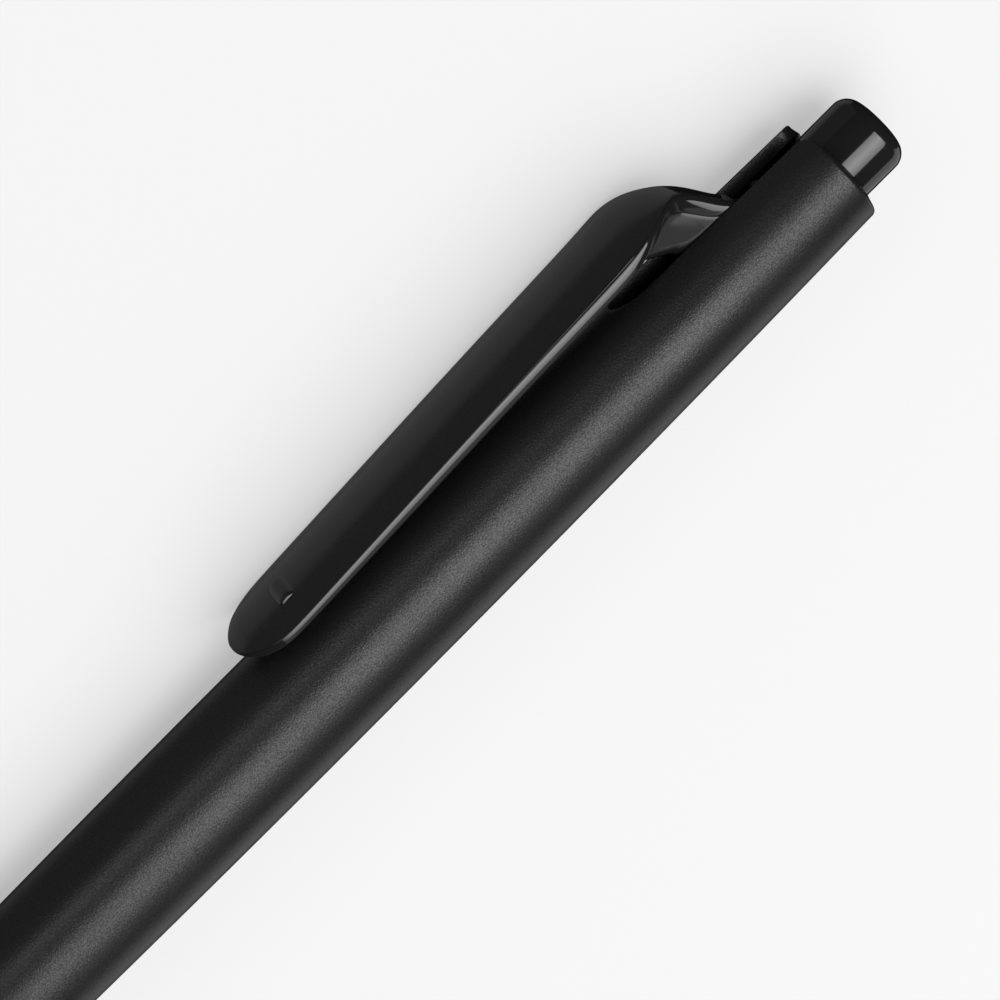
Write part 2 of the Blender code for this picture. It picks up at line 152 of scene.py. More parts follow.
def linear(hex_colour, alpha=1.0):
    """An sRGB hex colour as linear RGBA."""
    parts = [int(hex_colour[i:i + 2], 16) / 255 for i in (1, 3, 5)]
    made = [c / 12.92 if c <= 0.04045 else ((c + 0.055) / 1.055) ** 2.4 for c in parts]
    return (*made, alpha)


def colour(name, description, default):
    return FloatVectorProperty(name=name, description=description, subtype="COLOR", size=4,
                               min=0.0, max=1.0, default=linear(default))


def length(name, description, default_mm):
    return FloatProperty(name=name, description=description, unit="LENGTH", subtype="DISTANCE",
                         min=0.0, precision=5, default=default_mm * MM)


class BarrelSettings(bpy.types.PropertyGroup):
    facets: IntProperty(name="Facets", description="Facets round each turned piece", default=96,
                        min=24, max=256)
    slot_edge: length("Slot edge", "Radius of the moulded edges of the clip's slot", 0.05)
    plastic: colour("Barrel plastic", "Colour of the satin barrel and nose cone", "#1c1c1d")
    grain: length("Grain", "Size of one grain of the spark-eroded surface", 0.14)


class ClipSettings(bpy.types.PropertyGroup):
    plastic: colour("Clip plastic", "Colour of the polished clip and button", "#1b1b1c")
    smoothness: IntProperty(name="Smoothness", description="Subdivision levels of the clip",
                            default=3, min=1, max=4)


class RefillSettings(bpy.types.PropertyGroup):
    ink: colour("Ink", "Colour of the ink paste", "#0a1450")
    turns: IntProperty(name="Spring turns", description="Active turns of the return spring",
                       default=8, min=4, max=12)


class StageSettings(bpy.types.PropertyGroup):
    floor: colour("Table", "Colour of the light table the pen lies on", "#ababab")
    glow: FloatProperty(name="Glow", description="Light from below the table", default=0.41,
                        min=0.0)
    lens: FloatProperty(name="Lens", description="Focal length of the camera", default=129.6,
                        unit="CAMERA")
    key: FloatProperty(name="Key light", description="Radiance of the overhead softbox",
                       default=3.45, min=0.0)


# ---------------------------------------------------------------- mesh helpers

def arc(x, r, radius, start, end, count):
    """Points on an arc about (x, r); 0 degrees points to the rear and 90 away from the axis."""
    turns = [math.radians(start + (end - start) * i / count) for i in range(count + 1)]
    return [(x + radius * math.cos(t), r + radius * math.sin(t)) for t in turns]


def draw_profile(bm, profile, closed=False):
    """A chain of edges through (x, r) points, in the plane of the clip."""
    verts = [bm.verts.new((x, r, 0.0)) for x, r in profile]
    edges = [bm.edges.new(pair) for pair in zip(verts, verts[1:])]
    if closed:
        edges.append(bm.edges.new((verts[-1], verts[0])))
    return verts + edges


def spin_profile(bm, profile, closed=True):
    """Turn a profile about the pen's axis."""
    drawn = draw_profile(bm, profile, closed)
    bmesh.ops.spin(bm, geom=drawn, cent=(0, 0, 0), axis=(1, 0, 0), angle=2 * math.pi,
                   steps=bpy.context.scene.pen_barrel.facets, use_merge=True)
    bmesh.ops.remove_doubles(bm, verts=bm.verts, dist=1e-5)


def add_piece(name, bm, body, slot, finish, *nodes, smooth=30.0):
    """Orient and place a mesh drawn on the pen's axes, and let it ride on its body."""
    bmesh.ops.recalc_face_normals(bm, faces=bm.faces)
    bmesh.ops.transform(bm, matrix=PEN, verts=bm.verts)
    mesh = bpy.data.meshes.new(name)
    bm.to_mesh(mesh)
    bm.free()
    mesh.shade_smooth()
    mesh.set_sharp_from_angle(angle=math.radians(smooth))
    mesh.materials.append(finish)
    piece = bpy.data.objects.new(name, mesh)
    bpy.context.scene.collection.objects.link(piece)
    if body:
        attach(piece, body)
    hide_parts(*nodes)
    return piece


def loose_object(name, bm):
    """A mesh on the pen's axes, only there to shape another one."""
    bmesh.ops.recalc_face_normals(bm, faces=bm.faces)
    mesh = bpy.data.meshes.new(name)
    bm.to_mesh(mesh)
    bm.free()
    made = bpy.data.objects.new(name, mesh)
    bpy.context.scene.collection.objects.link(made)
    return made


def combined(bm, other, operation):
    """The mesh after a Boolean with another, as a new bmesh. Both meshes are used up."""
    target, tool = loose_object("target", bm), loose_object("tool", other)
    step = target.modifiers.new("cut", "BOOLEAN")
    step.object, step.operation, step.solver = tool, operation, "EXACT"
    bpy.context.view_layer.update()
    shown = target.evaluated_get(bpy.context.evaluated_depsgraph_get())
    made = bmesh.new()
    made.from_mesh(shown.to_mesh())
    shown.to_mesh_clear()
    for thing in (target, tool):
        bpy.data.objects.remove(thing, do_unlink=True)
    bmesh.ops.remove_doubles(made, verts=made.verts, dist=1e-5)
    return made


def soften(bm, radius, angle=35.0, keep=lambda edge: True):
    """Round the edges where two faces meet at more than an angle."""
    sharp = [edge for edge in bm.edges if len(edge.link_faces) == 2
             and edge.calc_face_angle(0.0) > math.radians(angle) and keep(edge)]
    bmesh.ops.bevel(bm, geom=sharp, offset=radius, offset_type="OFFSET", segments=2, profile=0.5,
                    affect="EDGES", clamp_overlap=True, material=-1)


def ring_block(bm, x0, x1, r0, r1, centre, width, steps=6):
    """A curved block, part of a ring between two radii: a rectangle spun part of the way round."""
    drawn = draw_profile(bm, ((x0, r0), (x0, r1), (x1, r1), (x1, r0)), closed=True)
    verts = [part for part in drawn if isinstance(part, bmesh.types.BMVert)]
    first = bm.faces.new(verts)
    bmesh.ops.rotate(bm, verts=verts, cent=(0, 0, 0),
                     matrix=Matrix.Rotation(math.radians(centre - width / 2), 3, "X"))
    bmesh.ops.spin(bm, geom=[first], cent=(0, 0, 0), axis=(1, 0, 0),
                   angle=math.radians(width), steps=steps)


# ---------------------------------------------------------------- node helpers

def add_node(tree, kind, links=None, values=None, **settings):
    """One node, with its attributes, its input values and the sockets that feed it."""
    node = tree.nodes.new(kind)
    for name, value in settings.items():
        setattr(node, name, value)
    for socket, value in (values or {}).items():
        node.inputs[socket].default_value = value
    for socket, source in (links or {}).items():
        tree.links.new(source, node.inputs[socket])
    return node


def start_material(name, base, roughness, **values):
    """A Principled material with uniform values set on its own sockets."""
    made = bpy.data.materials.new(name)
    made.use_nodes = True
    tree = made.node_tree
    shader = tree.nodes["Principled BSDF"]
    shader.inputs["Base Color"].default_value = base
    shader.inputs["Roughness"].default_value = roughness
    for socket, value in values.items():
        shader.inputs[socket.replace("_", " ")].default_value = value
    made.diffuse_color = base
    return made, tree, shader


def object_noise(tree, size_mm, detail=2.0, roughness=0.5, stretch=(1.0, 1.0, 1.0)):
    """Noise whose features are about size_mm across, on the object's own coordinates."""
    place = add_node(tree, "ShaderNodeTexCoord")
    mapping = add_node(tree, "ShaderNodeMapping", {"Vector": place.outputs["Object"]},
                       {"Scale": [s / (size_mm * MM) for s in stretch]})
    return add_node(tree, "ShaderNodeTexNoise", {"Vector": mapping.outputs["Vector"]},
                    {"Scale": 1.0, "Detail": detail, "Roughness": roughness})


def ramp(tree, source, low, high, out_low, out_high):
    """Map a band of a value onto another band."""
    return add_node(tree, "ShaderNodeMapRange", {"Value": source},
                    {"From Min": low, "From Max": high, "To Min": out_low, "To Max": out_high})


def bump(tree, shader, height, depth_mm):
    """Feed a height into the shader's normal, at its real depth."""
    node = add_node(tree, "ShaderNodeBump", {"Height": height},
                    {"Strength": 1.0, "Distance": depth_mm * MM})
    tree.links.new(node.outputs["Normal"], shader.inputs["Normal"])


# ---------------------------------------------------------------- materials

def spark_eroded_abs(settings):
    """ABS moulded in a spark-eroded tool: an even, fine grain that breaks a light into a soft band
    with a faint sparkle, and a slightly polished look where hands rub it."""
    made, tree, shader = start_material("spark_eroded_abs", settings.plastic, 0.33, IOR=1.54)
    grain = object_noise(tree, settings.grain / MM, detail=1.0)
    broad = object_noise(tree, 9.0, detail=2.0)
    gloss = ramp(tree, broad.outputs["Fac"], 0.35, 0.65, 0.31, 0.36)
    tree.links.new(gloss.outputs["Result"], shader.inputs["Roughness"])
    pits = object_noise(tree, settings.grain / MM * 0.8, detail=0.0)
    glint = ramp(tree, pits.outputs["Fac"], 0.3, 0.7, 0.6, 1.4)
    tree.links.new(glint.outputs["Result"], shader.inputs["Specular Tint"])
    bump(tree, shader, grain.outputs["Fac"], 0.018)
    return made


def polished_abs(settings):
    """ABS moulded in a polished tool: black and mirror-like, with a little long waviness from
    shrinkage and a fine haze from handling."""
    made, tree, shader = start_material("polished_abs", settings.plastic, 0.12, IOR=1.54,
                                        Specular_IOR_Level=0.85)
    haze = object_noise(tree, 2.5, detail=4.0, roughness=0.65)
    gloss = ramp(tree, haze.outputs["Fac"], 0.3, 0.7, 0.06, 0.11)
    tree.links.new(gloss.outputs["Result"], shader.inputs["Roughness"])
    waves = object_noise(tree, 4.0, detail=1.0, stretch=(0.4, 1.0, 1.0))
    bump(tree, shader, waves.outputs["Fac"], 0.006)
    return made


ACETAL = {"white_acetal": "#e4e3de", "black_acetal": "#1c1c1e"}


def moulded_acetal(name):
    """Acetal, the slippery plastic of click mechanisms: waxy, evenly coloured, with flow marks that
    run along the mould."""
    made, tree, shader = start_material(name, linear(ACETAL[name]), 0.38, IOR=1.48)
    shader.inputs["Subsurface Weight"].default_value = 0.05
    shader.inputs["Subsurface Radius"].default_value = (0.0008, 0.0008, 0.0008)
    flow = object_noise(tree, 0.6, detail=2.0, stretch=(0.2, 1.0, 1.0))
    bump(tree, shader, flow.outputs["Fac"], 0.004)
    return made


def drawn_steel_wire():
    """Stainless spring wire: bright, with fine scratches drawn along it."""
    made, tree, shader = start_material("drawn_steel_wire", linear("#c9c8c4"), 0.24, Metallic=1.0)
    marks = object_noise(tree, 0.08, detail=2.0)
    gloss = ramp(tree, marks.outputs["Fac"], 0.3, 0.7, 0.18, 0.32)
    tree.links.new(gloss.outputs["Result"], shader.inputs["Roughness"])
    bump(tree, shader, marks.outputs["Fac"], 0.001)
    return made


def turned_nickel_silver():
    """Nickel silver turned on a lathe: a warm white metal with fine rings round it."""
    made, tree, shader = start_material("turned_nickel_silver", linear("#d8cfbd"), 0.22,
                                        Metallic=1.0)
    rings = object_noise(tree, 0.05, detail=1.0, stretch=(1.0, 0.02, 0.02))
    gloss = ramp(tree, rings.outputs["Fac"], 0.3, 0.7, 0.16, 0.3)
    tree.links.new(gloss.outputs["Result"], shader.inputs["Roughness"])
    bump(tree, shader, rings.outputs["Fac"], 0.0015)
    return made


def ground_carbide():
    """Tungsten carbide, ground and lapped: dark grey and mirror-like."""
    made, tree, shader = start_material("ground_carbide", linear("#8c8f92"), 0.08, Metallic=1.0)
    haze = object_noise(tree, 0.04, detail=2.0)
    gloss = ramp(tree, haze.outputs["Fac"], 0.3, 0.7, 0.05, 0.12)
    tree.links.new(gloss.outputs["Result"], shader.inputs["Roughness"])
    return made


def extruded_polypropylene():
    """Natural polypropylene tube: milky and translucent, with faint draw lines along it."""
    made, tree, shader = start_material("extruded_polypropylene", linear("#eef0ee"), 0.3, IOR=1.49)
    shader.inputs["Transmission Weight"].default_value = 0.75
    lines = object_noise(tree, 0.15, detail=2.0, stretch=(0.03, 1.0, 1.0))
    bump(tree, shader, lines.outputs["Fac"], 0.003)
    return made


def ink_paste(settings):
    """Oil-based ink paste: deep and wet, clinging a little unevenly to the tube."""
    made, tree, shader = start_material("ink_paste", settings.ink, 0.15, IOR=1.5)
    film = object_noise(tree, 0.8, detail=2.0)
    bump(tree, shader, film.outputs["Fac"], 0.01)
    return made


def clear_grease():
    """The plug of clear grease behind the ink."""
    made, tree, shader = start_material("clear_grease", linear("#e6d9a8"), 0.2, IOR=1.47)
    shader.inputs["Transmission Weight"].default_value = 0.6
    film = object_noise(tree, 0.5, detail=2.0)
    bump(tree, shader, film.outputs["Fac"], 0.01)
    return made


def opal_acrylic(settings):
    """The opal acrylic sheet of a light table: smooth, pale and lit faintly from below, which
    keeps shadows thin."""
    made, tree, shader = start_material("opal_acrylic", settings.floor, 0.9)
    shader.inputs["Specular IOR Level"].default_value = 0.0
    shader.inputs["Emission Color"].default_value = (1.0, 1.0, 1.0, 1.0)
    shader.inputs["Emission Strength"].default_value = settings.glow
    return made


def finish_for(name, maker, *settings):
    """The named material, made the first time it is asked for."""
    return bpy.data.materials.get(name) or maker(*settings)


def dress(node, finish):
    """Give a CAD node that stays its finish."""
    piece = frame["nodes"][node]
    piece.data.materials.clear()
    piece.data.materials.append(finish)


# ---------------------------------------------------------------- barrel

def barrel_radius(x):
    away = x - BELLY_X
    return BELLY_R - (REAR_ARC if away > 0 else FRONT_ARC) * away * away


def slot_outline():
    """The clip's slot on (x, z): rounded at its front end and flared where it meets the rim."""
    half = []
    for i in range(13):
        turn = math.radians(7.5 * i)
        x = SLOT_ROUND_X + (SLOT_END_X - SLOT_ROUND_X) * math.cos(turn)
        half.append((x, SLOT_HALF * math.sin(turn)))
    half += arc(-SLOT_FLARE, SLOT_HALF + SLOT_FLARE, SLOT_FLARE, -90, 0, 8)
    half.append((1.0, SLOT_HALF + SLOT_FLARE))
    return half + [(x, -z) for x, z in reversed(half[1:])]


def slot_cutter():
    bm = bmesh.new()
    base = bm.faces.new([bm.verts.new((x, 1.0, z)) for x, z in slot_outline()])
    grown = bmesh.ops.extrude_face_region(bm, geom=[base])["geom"]
    moved = [part for part in grown if isinstance(part, bmesh.types.BMVert)]
    bmesh.ops.translate(bm, vec=(0, 6.0, 0), verts=moved)
    return bm


class PEN_OT_barrel(bpy.types.Operator):
    """Make the barrel's shell, with its slot, lip and front socket"""
    bl_idname = "pen.barrel"
    bl_label = "Barrel"

    def execute(self, context):
        settings = context.scene.pen_barrel
        socket_x = JOINT_X + SOCKET_DEPTH
        rear_x = -RIM_CORNER
        count = 48
        stations = [JOINT_X + 0.1 + (rear_x - JOINT_X - 0.1) * i / count for i in range(count + 1)]
        profile = [(JOINT_X, FRONT_BORE_R + 0.1), (JOINT_X, barrel_radius(JOINT_X) - 0.1)]
        profile += [(x, barrel_radius(x)) for x in stations]
        profile += arc(rear_x, barrel_radius(rear_x) - RIM_CORNER, RIM_CORNER, 80, 8, 6)
        profile += arc(RIM_DOME - 0.15, LIP_R + 0.15, 0.15, 60, 180, 5)
        profile += [(LIP_X, LIP_R), (LIP_X, BORE_R), (BORE_STEP_X, BORE_R)]
        profile += [(BORE_STEP_X, STEP_R), (BORE_STEP_X - 1.5, STEP_R)]
        profile += [(BORE_STEP_X - 3.0, BORE_R), (socket_x, FRONT_BORE_R)]
        profile += [(JOINT_X + 0.1, FRONT_BORE_R)]
        bm = bmesh.new()
        spin_profile(bm, profile)
        bm = combined(bm, slot_cutter(), "DIFFERENCE")
        soften(bm, settings.slot_edge / MM, 50.0,
               lambda edge: all(math.hypot(vert.co.y, vert.co.z) > BORE_R + 0.1
                                and vert.co.y > 2.0 and vert.co.x > SLOT_END_X - 0.1
                                and abs(vert.co.z) < SLOT_HALF + SLOT_FLARE + 0.1
                                for vert in edge.verts))
        finish = finish_for("spark_eroded_abs", spark_eroded_abs, settings)
        add_piece("barrel_shell", bm, "barrel", "barrel_plastic", finish, "barrel")
        return {"FINISHED"}


# ---------------------------------------------------------------- nose cone

def nose_radius(x):
    """A curve that leaves the barrel without a corner and narrows to the mouth."""
    reach = JOINT_X - NOSE_X
    end_slope = 2 * FRONT_ARC * (BELLY_X - JOINT_X)
    bend = (barrel_radius(JOINT_X) - NOSE_R - end_slope * reach) / reach ** 2
    away = x - NOSE_X
    return NOSE_R + (end_slope + 2 * bend * reach) * away - bend * away * away


def thread(bm, x, radius, pitch, depth, turns):
    """A ridge wound round the pen's axis: a small triangle spun and moved along at once."""
    drawn = draw_profile(bm, ((x, radius - 0.02), (x + pitch * 0.3, radius + depth),
                              (x + pitch * 0.6, radius - 0.02)), closed=True)
    face = bm.faces.new([part for part in drawn if isinstance(part, bmesh.types.BMVert)])
    steps = int(turns * 36)
    bmesh.ops.spin(bm, geom=[face], cent=(0, 0, 0), axis=(1, 0, 0), angle=2 * math.pi * turns,
                   steps=steps, dvec=(pitch / 36, 0, 0))


class PEN_OT_nose_cone(bpy.types.Operator):
    """Make the nose cone, with its threaded spigot and the seat for the spring"""
    bl_idname = "pen.nose_cone"
    bl_label = "Nose cone"

    def execute(self, context):
        face_x = JOINT_X - FIT_GAP
        count = 28
        stations = [NOSE_X + 0.3 + (face_x - 0.1 - NOSE_X - 0.3) * i / count
                    for i in range(count + 1)]
        profile = arc(NOSE_X + 0.15, MOUTH_R + 0.15, 0.15, 270, 180, 4)
        profile += arc(NOSE_X + 0.3, nose_radius(NOSE_X + 0.3) - 0.3, 0.3, 180, 105, 6)
        profile += [(x, nose_radius(x)) for x in stations]
        profile += [(face_x, nose_radius(face_x) - 0.1), (face_x, SPIGOT_R)]
        profile += [(face_x + 0.8, SPIGOT_R - 0.12), (face_x + 1.6, SPIGOT_R - 0.12)]
        profile += [(face_x + 1.8, SPIGOT_R), (SPIGOT_X - 0.4, SPIGOT_R)]
        profile += [(SPIGOT_X, SPIGOT_R - 0.4), (SPIGOT_X, SPIGOT_BORE_R)]
        profile += [(CHAMBER_X + 2.0, SPIGOT_BORE_R), (CHAMBER_X, CHAMBER_R)]
        profile += [(SEAT_X, CHAMBER_R), (SEAT_X, MOUTH_R)]
        bm = bmesh.new()
        spin_profile(bm, profile)
        thread(bm, face_x + 2.2, SPIGOT_R, THREAD_PITCH, THREAD_DEPTH, THREAD_TURNS)
        finish = finish_for("spark_eroded_abs", spark_eroded_abs, context.scene.pen_barrel)
        add_piece("nose_cone_shell", bm, "nose", "barrel_plastic", finish, "nose_cone")
        return {"FINISHED"}


# ---------------------------------------------------------------- clip

# The turn from blade to neck and on to the foot: each ring's outer point, inner point and half width
CLIP_TURN = (
    (-16.0, 10.10, -17.2, 8.00, 4.90),
    (-14.8, 10.10, -16.8, 7.45, 4.80),
    (-13.6, 9.98, -16.4, 6.90, 4.36),
    (-12.6, 9.78, -16.0, 6.50, 3.60),
    (-11.7, 9.50, -15.6, 6.15, 2.62),
    (-10.9, 9.10, -15.2, 5.90, 1.90),
    (-10.2, 8.50, -14.8, 5.70, 1.52),
    (-9.5, 7.60, -14.5, 5.50, 1.43),
    (-8.8, 6.40, -14.1, 5.35, 1.40),
    (-8.2, 5.40, -13.9, 5.00, 1.40),
    (-7.7, 4.80, -13.7, 4.70, 1.40),
    (-7.4, 4.50, -13.5, 4.42, 1.40),
    (-7.5, 4.22, -13.3, 4.22, 1.40),
    (-8.0, 4.10, -13.2, 4.10, 1.40),
    (-8.2, 3.90, -13.2, 3.90, 1.40),
    (-8.2, 3.35, -13.2, 3.35, 1.40),
)


def clip_edge_radius(x):
    """How far from the pen's axis the blade's outer side edges run."""
    return CLIP_EDGE_R + CLIP_LEAN * (x - CLIP_EDGE_X)


def clip_ring(bm, outer, inner, half, edge, stem):
    """A closed ring across the clip, in the plane of its outer and inner points.

    half is its half width, edge the thickness at its side and stem the half width of the neck, where
    the ring reaches down into it. Towards the shoulder the outer corners are rounded more.
    """
    down = inner - outer
    deep = down.length
    down.normalize()
    crown = CLIP_CROWN * (half / CLIP_HALF) ** 2
    low = min(crown + edge, deep)
    fillet = min(CLIP_FILLET, edge * 0.2)
    rounded = fillet + min(max(outer.x - FILLET_FROM_X, 0.0) * FILLET_GROWS, FILLET_MORE)
    shape = [(part * half, crown * part * part) for part in (0.0, 0.34, 0.66)]
    shape += [(half - 2.3 * fillet - rounded, crown * 0.9), (half - 0.9 * rounded, crown),
              (half, crown + rounded), (half, low - fillet), (half - fillet, low),
              (max(stem, half * 0.62), low), (stem, min(low + 0.25, deep)),
              (stem, deep), (0.0, deep)]
    side = [outer + down * depth + Vector((0, 0, z)) for z, depth in shape]
    other = [Vector((spot.x, spot.y, -spot.z)) for spot in reversed(side[1:-1])]
    verts = [bm.verts.new(spot) for spot in side + other]
    return [bm.edges.new(pair) for pair in zip(verts, verts[1:] + verts[:1])]


def clip_rings(bm):
    """Rings from the blade's round front end, along the blade and down the neck."""
    round_x = CLIP_NOSE_X + CLIP_HALF
    turns = [math.radians(t) for t in (86, 80, 71, 60, 47, 32, 16, 0)]
    blade = [(round_x - CLIP_HALF * math.sin(t), max(CLIP_HALF * math.cos(t), 0.3)) for t in turns]
    blade += [(x, CLIP_HALF) for x in (-50.0, -44.0, -36.0, -28.0, -21.0, -18.0)]
    rings = []
    for x, half in blade:
        edge_r = clip_edge_radius(x)
        crown_r = edge_r + CLIP_CROWN
        thick = min(CLIP_THIN + (x - CLIP_NOSE_X) * CLIP_THICKENS, CLIP_THICK)
        thick += max(x - SHOULDER_FROM_X, 0) * SHOULDER_THICKENS
        blunt = min(1.0, BLUNT_END + (x - CLIP_NOSE_X) * BLUNT_SLOPE)
        crown = CLIP_CROWN * (half / CLIP_HALF) ** 2
        middle = crown_r - (crown + thick) / 2
        tall = (crown + thick) * blunt
        rings.append(clip_ring(bm, Vector((x, middle + tall / 2, 0)),
                               Vector((x, middle - tall / 2, 0)), half, thick * blunt,
                               half * 0.3))
    for outer_x, outer_y, inner_x, inner_y, half in CLIP_TURN:
        rings.append(clip_ring(bm, Vector((outer_x, outer_y, 0)), Vector((inner_x, inner_y, 0)),
                               half, SHOULDER_THICK, NECK_HALF))
    return rings


def grip_pad(bm):
    """The round pad under the blade that presses on cloth."""
    centre = Vector((PAD_X, barrel_radius(PAD_X) + PAD_GAP + PAD_R, 0))
    made = bmesh.ops.create_cone(bm, cap_ends=True, segments=24, radius1=PAD_R, radius2=PAD_R,
                                 depth=2 * PAD_HALF, matrix=Matrix.Translation(centre))
    rims = {edge for vert in made["verts"] for edge in vert.link_edges
            if edge.calc_face_angle(0.0) > 1.0}
    bmesh.ops.bevel(bm, geom=list(rims), offset=PAD_ROUND, offset_type="OFFSET", segments=2,
                    profile=0.5, affect="EDGES", clamp_overlap=True, material=-1)


class PEN_OT_clip(bpy.types.Operator):
    """Make the clip: one moulding from its round front end to the foot in the barrel"""
    bl_idname = "pen.clip"
    bl_label = "Clip"

    def execute(self, context):
        settings = context.scene.pen_clip
        bm = bmesh.new()
        rings = clip_rings(bm)
        for low, high in zip(rings, rings[1:]):
            bmesh.ops.bridge_loops(bm, edges=low + high)
        bmesh.ops.holes_fill(bm, edges=bm.edges, sides=0)
        grip_pad(bm)
        finish = finish_for("polished_abs", polished_abs, settings)
        clip = add_piece("pocket_clip", bm, "clip", "gloss_plastic", finish, "clip", smooth=180.0)
        fine = clip.modifiers.new("smooth", "SUBSURF")
        fine.levels = fine.render_levels = settings.smoothness
        return {"FINISHED"}


# ---------------------------------------------------------------- button

class PEN_OT_button(bpy.types.Operator):
    """Make the push button, hollow, with the flange that keeps it in the barrel"""
    bl_idname = "pen.button"
    bl_label = "Button"

    def execute(self, context):
        flange_x = BUTTON_FRONT_X + FLANGE_LENGTH
        end_r = BUTTON_R - BUTTON_FILLET
        profile = [(BUTTON_X, 0.0), (BUTTON_X, end_r * 0.9)]
        profile += arc(BUTTON_X - BUTTON_FILLET, end_r, BUTTON_FILLET, 2, 90, 14)
        profile += [(flange_x + 0.2, BUTTON_R), (flange_x, BUTTON_R + 0.05)]
        profile += [(flange_x, FLANGE_R), (BUTTON_FRONT_X, FLANGE_R)]
        profile += [(BUTTON_FRONT_X, BUTTON_BORE_R), (0.05, BUTTON_BORE_R), (0.05, BUTTON_CORE_R)]
        profile += [(BUTTON_CORE_X, BUTTON_CORE_R), (BUTTON_CORE_X, 0.0)]
        bm = bmesh.new()
        spin_profile(bm, profile, closed=False)
        finish = finish_for("polished_abs", polished_abs, context.scene.pen_clip)
        add_piece("push_button", bm, "button", "gloss_plastic", finish, "button")
        return {"FINISHED"}


# ---------------------------------------------------------------- refill, spring and mechanism

def refill_tube():
    """The tube, with its two ears for the spring."""
    bm = bmesh.new()
    profile = arc(TUBE_X0 - 0.1, TUBE_R - 0.1, 0.1, 0, 90, 3)
    profile += [(TUBE_X1, TUBE_R), (TUBE_X1, TUBE_BORE_R), (TUBE_X0, TUBE_BORE_R)]
    spin_profile(bm, profile)
    for side in (0.0, 180.0):
        ears = bmesh.new()
        ring_block(ears, EAR_X1, EAR_X0, TUBE_R - 0.3, EAR_R, side, EAR_WIDTH)
        bm = combined(bm, ears, "UNION")
    soften(bm, 0.1, 50.0, lambda edge: all(math.hypot(v.co.y, v.co.z) > TUBE_R + 0.3
                                           for v in edge.verts))
    tube = finish_for("extruded_polypropylene", extruded_polypropylene)
    add_piece("refill_tube_fine", bm, "refill", "tube_plastic", tube, "refill_tube")


def tip_holder():
    """The moulding that plugs the tube and holds the point."""
    step_x = TUBE_X1 - FIT_GAP
    fill_r = TUBE_BORE_R - FIT_GAP
    bm = bmesh.new()
    profile = [(HOLDER_X0, fill_r), (step_x, fill_r), (step_x, TUBE_R - 0.05)]
    profile += arc(step_x - 1.1, TUBE_R - 0.15, 0.1, 90, 180, 4)
    profile += arc(step_x - 1.6, HOLDER_R + 0.15, 0.15, 340, 270, 4)
    profile += arc(HOLDER_X1 + 0.08, HOLDER_R - 0.08, 0.08, 90, 180, 3)
    profile += [(HOLDER_X1, SOCKET_R), (POINT_X0 + FIT_GAP, SOCKET_R)]
    profile += [(POINT_X0 + FIT_GAP, CHANNEL_R), (HOLDER_X0, CHANNEL_R)]
    spin_profile(bm, profile)
    acetal = finish_for("white_acetal", moulded_acetal, "white_acetal")
    add_piece("tip_holder_fine", bm, "refill", "inner_plastic", acetal, "tip_holder")


def writing_point():
    """The turned point, with the socket that its ball rolls in."""
    shank_x = HOLDER_X1 - FIT_GAP
    bm = bmesh.new()
    profile = [(POINT_X0, SOCKET_R - FIT_GAP), (shank_x, SOCKET_R - FIT_GAP)]
    profile += arc(shank_x - 0.08, HOLDER_R - 0.08, 0.08, 0, 90, 3)
    profile += arc(shank_x - 2.2, HOLDER_R - 0.2, 0.2, 90, 104, 3)
    profile += arc(POINT_X1 + 0.12, BALL_R + 0.02, 0.1, 104, 180, 5)
    profile += [(POINT_X1, BALL_R + FIT_GAP), (BALL_X + BALL_R + FIT_GAP, BALL_R + FIT_GAP)]
    profile += [(BALL_X + BALL_R + 0.3, INK_HOLE_R), (POINT_X0, INK_HOLE_R)]
    spin_profile(bm, profile)
    nickel = finish_for("turned_nickel_silver", turned_nickel_silver)
    add_piece("writing_point_fine", bm, "refill", "nickel_silver", nickel, "writing_point")


def writing_ball():
    bm = bmesh.new()
    bmesh.ops.create_icosphere(bm, subdivisions=4, radius=BALL_R,
                               matrix=Matrix.Translation((BALL_X, 0, 0)))
    carbide = finish_for("ground_carbide", ground_carbide)
    add_piece("ball_fine", bm, "refill", "ball_metal", carbide, "ball")


class PEN_OT_refill(bpy.types.Operator):
    """Make the refill's tube, tip holder, point and ball, and give its ink and grease a finish"""
    bl_idname = "pen.refill"
    bl_label = "Refill"

    def execute(self, context):
        refill_tube()
        tip_holder()
        writing_point()
        writing_ball()
        dress("ink_column", finish_for("ink_paste", ink_paste, context.scene.pen_refill))
        dress("grease_follower", finish_for("clear_grease", clear_grease))
        return {"FINISHED"}


class PEN_OT_spring(bpy.types.Operator):
    """Wind the return spring, with a closed turn at each end"""
    bl_idname = "pen.spring"
    bl_label = "Return spring"

    def execute(self, context):
        turns = context.scene.pen_refill.turns
        wire_r = SPRING_WIRE / 2
        start_x = SPRING_X0 + wire_r
        reach = SPRING_X1 - SPRING_X0 - SPRING_WIRE
        closed_pitch = SPRING_WIRE + 0.03
        open_pitch = (reach - 2 * closed_pitch) / turns
        steps = 28
        bm = bmesh.new()
        ring = bmesh.ops.create_circle(bm, cap_ends=True, segments=12, radius=wire_r)["verts"]
        bmesh.ops.translate(bm, vec=(start_x, SPRING_R, 0), verts=ring)
        last = list(bm.faces)
        for count, pitch in ((1, closed_pitch), (turns, open_pitch), (1, closed_pitch)):
            made = bmesh.ops.spin(bm, geom=last, cent=(0, 0, 0), axis=(1, 0, 0),
                                  angle=2 * math.pi * count, steps=steps * count,
                                  dvec=(pitch / steps, 0, 0))
            last = [part for part in made["geom_last"] if isinstance(part, bmesh.types.BMFace)]
        wire = finish_for("drawn_steel_wire", drawn_steel_wire)
        coil = add_piece("return_spring_fine", bm, None, "spring_steel", wire, "return_spring")
        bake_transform(coil)
        return {"FINISHED"}


